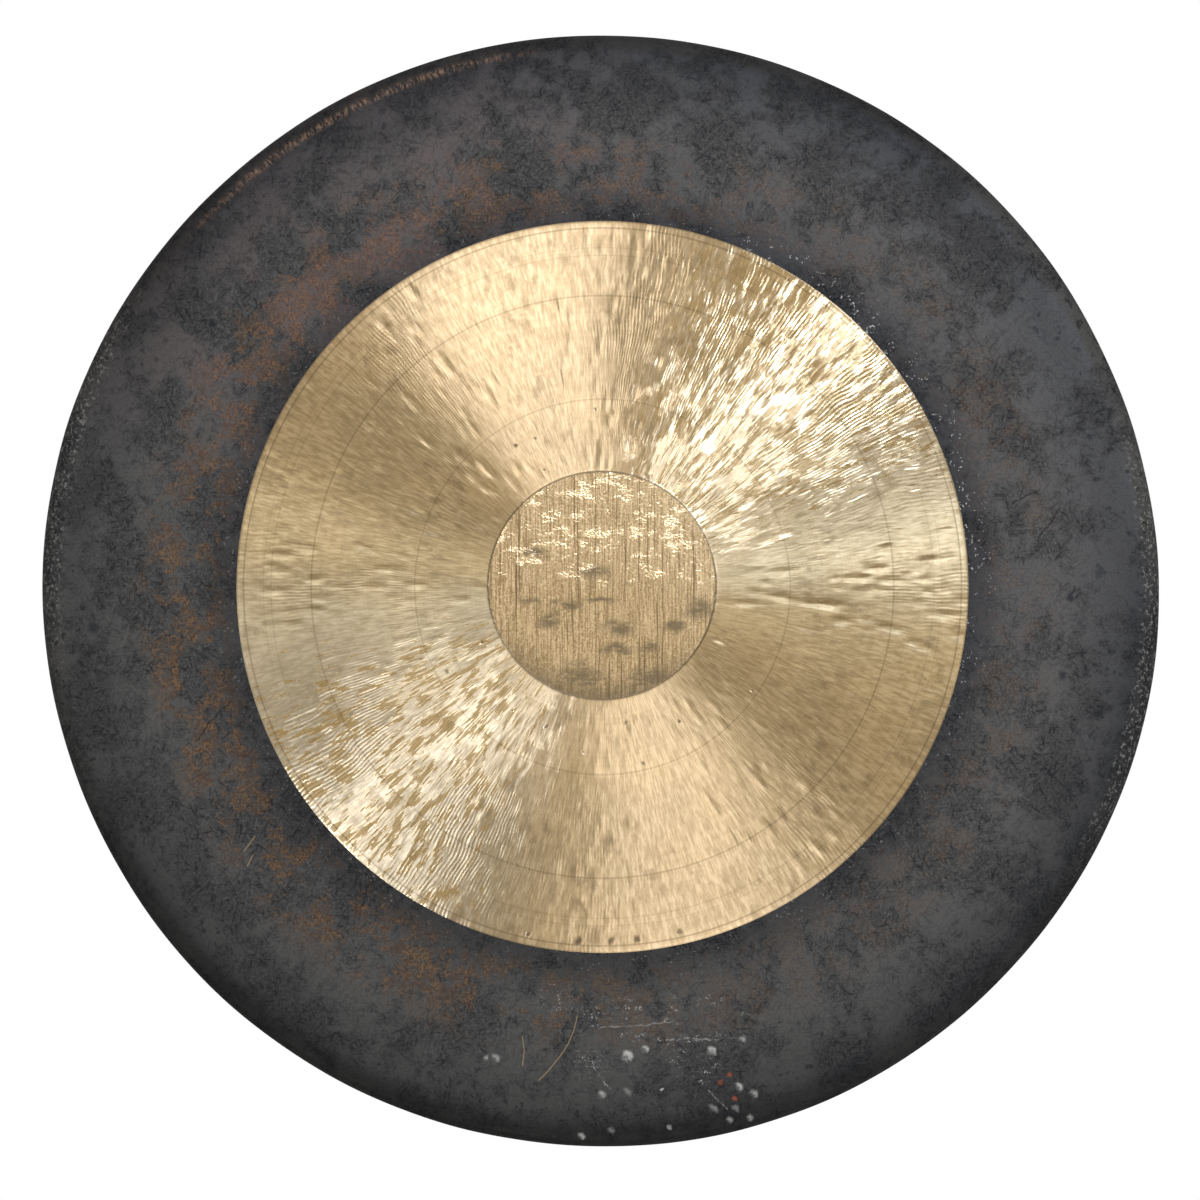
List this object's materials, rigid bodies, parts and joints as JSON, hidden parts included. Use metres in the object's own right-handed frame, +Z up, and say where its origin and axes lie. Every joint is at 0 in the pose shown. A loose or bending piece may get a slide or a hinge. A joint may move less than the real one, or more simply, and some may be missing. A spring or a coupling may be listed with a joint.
{
  "type": "gong",
  "caption": "Hammered bronze chau gong: a shallow dished plate with a turned-back rim, a lathed ring round a scraped centre, a dark oxide border and cord holes in the rim.",
  "frame": {"origin": "midway between the centres of the two cord holes in the top of the rim, where the gong hangs", "axes": "+Z up through the hanging point, the struck face looks along -Y, the open back looks along +Y, +X to the right of a player who faces the gong"},
  "size_m": [0.6114, 0.0489, 0.6083],
  "materials": {
    "hammered_bronze": "hammered bronze with a dark oxide skin, a lathed ring and a scraped centre"
  },
  "bodies": {
    "root": {"gong_plate": "hammered_bronze"}
  },
  "joints": []
}
